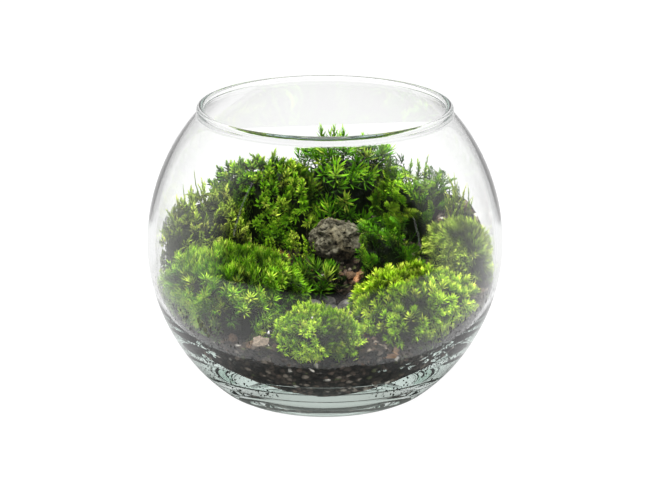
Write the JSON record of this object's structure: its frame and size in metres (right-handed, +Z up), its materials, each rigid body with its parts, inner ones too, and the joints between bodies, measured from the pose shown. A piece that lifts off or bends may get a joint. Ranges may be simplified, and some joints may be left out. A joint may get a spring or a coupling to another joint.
{
  "type": "glass plant terrarium",
  "caption": "Round open glass bowl planted with cushions and banks of moss on dark soil over gravel, with a rough stone in a clearing.",
  "frame": {"origin": "centre of the bowl's foot, on the surface it stands on", "axes": "+Z up through the middle of the mouth, +Y towards the high back bank of the planting, +X to the right seen from the low front"},
  "size_m": [0.18, 0.18, 0.147],
  "materials": {
    "clear_glass": "clear, faintly green in the thick base",
    "gravel": "matt, mixed grit",
    "soil": "matt, moist and crumbly",
    "bright_moss": "soft yellow-green leaves",
    "mid_green_moss": "soft mid-green leaves",
    "deep_green_moss": "soft deep green leaves",
    "olive_moss": "soft olive leaves",
    "rough_stone": "rough and pitted",
    "dark_pebble": "worn smooth",
    "bark": "rough flakes"
  },
  "bodies": {
    "root": {"glass_bowl": "clear_glass", "drainage_gravel": "gravel", "soil": "soil", "cushion_moss_front_left": "mid_green_moss", "cushion_moss_front_right": "bright_moss", "cushion_moss_front_centre": "bright_moss", "fine_moss_dome_right": "olive_moss", "mound_moss_back_left": "mid_green_moss", "star_moss_centre": "mid_green_moss", "star_moss_bank_back": "deep_green_moss", "fern_moss_bank_left": "olive_moss", "fern_moss_bank_right": "mid_green_moss", "wispy_moss_right": "olive_moss", "feather_moss_centre_left": "bright_moss", "feather_moss_centre_right": "mid_green_moss", "feature_stone": "rough_stone", "pebble_1": "dark_pebble", "pebble_2": "dark_pebble", "pebble_3": "dark_pebble", "pebble_4": "dark_pebble", "pebble_5": "dark_pebble", "pebble_6": "dark_pebble", "bark_flake_1": "bark", "bark_flake_2": "bark"}
  },
  "joints": []
}
